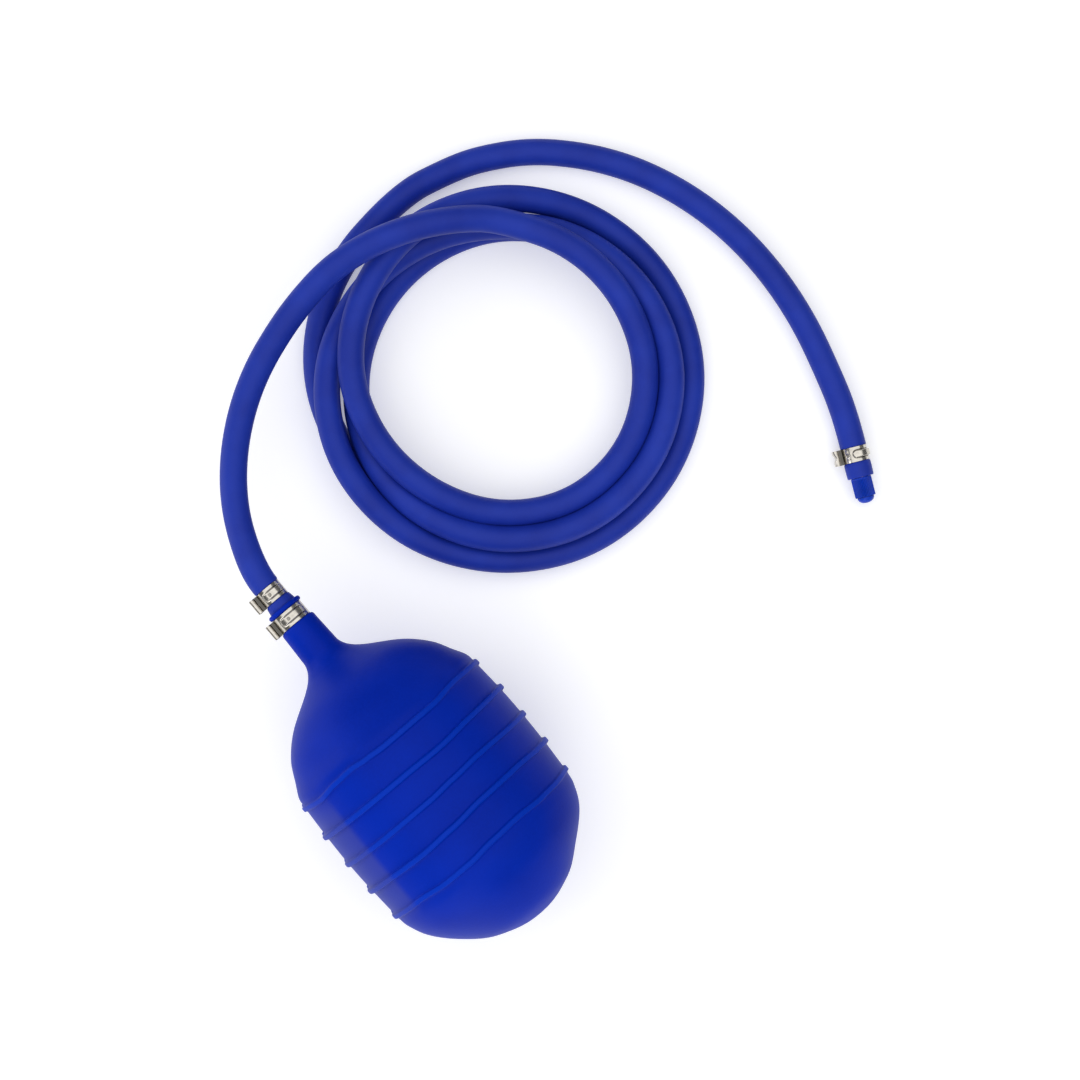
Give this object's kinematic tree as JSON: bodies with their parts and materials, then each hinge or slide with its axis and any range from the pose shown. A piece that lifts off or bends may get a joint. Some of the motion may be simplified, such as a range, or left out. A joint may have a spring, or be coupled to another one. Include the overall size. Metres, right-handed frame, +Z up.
{
  "type": "inflatable pipe test plug",
  "caption": "Ribbed rubber bladder that seals a drain pipe when inflated, with a coiled filling hose, crimped ear clamps and a tyre-type valve under a dust cap.",
  "frame": {"origin": "on the ground, under the middle of the box round the bladder, its clamp and the hose connector", "axes": "+Y along the bladder from its closed tail to its neck, +Z up, +X across the bladder towards the coiled hose"},
  "size_m": [0.3181, 0.2888, 0.1014],
  "materials": {
    "bladder_rubber": "matt moulded rubber, royal blue",
    "hose_rubber": "matt extruded rubber, royal blue",
    "cap_plastic": "satin moulded plastic, bright blue",
    "clamp_steel": "rolled stainless strip",
    "brass": "turned brass",
    "core_rubber": "black rubber"
  },
  "bodies": {
    "plug": {"bladder": "bladder_rubber", "neck_clamp": "clamp_steel", "hose_connector": "brass", "hose_clamp": "clamp_steel", "hose_lead": "hose_rubber", "hose_coil": "hose_rubber", "hose_tail": "hose_rubber", "valve_clamp": "clamp_steel", "valve_stem": "brass", "core_gasket": "core_rubber", "core_plug": "brass", "core_barrel": "brass"},
    "valve_pin": {"core_pin": "brass", "core_washer": "brass", "core_cup": "brass", "core_seal": "core_rubber", "core_spring": "clamp_steel"},
    "cap_carrier": {"cap_liner": "core_rubber"},
    "cap": {"valve_cap": "cap_plastic"}
  },
  "joints": [
    {"name": "pin_press", "type": "slide", "parent": "plug", "child": "valve_pin", "axis": [0.4391, 0.8984, 0], "range_m": [0, 0.0012], "stiffness_N_per_m": 1500, "springref_m": -0.0006, "deforming": ["core_spring"]},
    {"name": "cap_advance", "type": "slide", "parent": "plug", "child": "cap_carrier", "axis": [-0.4391, -0.8984, 0], "range_m": [0, 0.00794]},
    {"name": "cap_turn", "type": "hinge", "parent": "cap_carrier", "child": "cap", "pos_m": [0.2332, -0.04045, 0.0066], "axis": [0.4391, 0.8984, 0], "range_deg": [0, 3600]}
  ],
  "couplings": [
    {"joint": "cap_turn", "follows": "cap_advance", "rad_per_m": 7915.8}
  ]
}
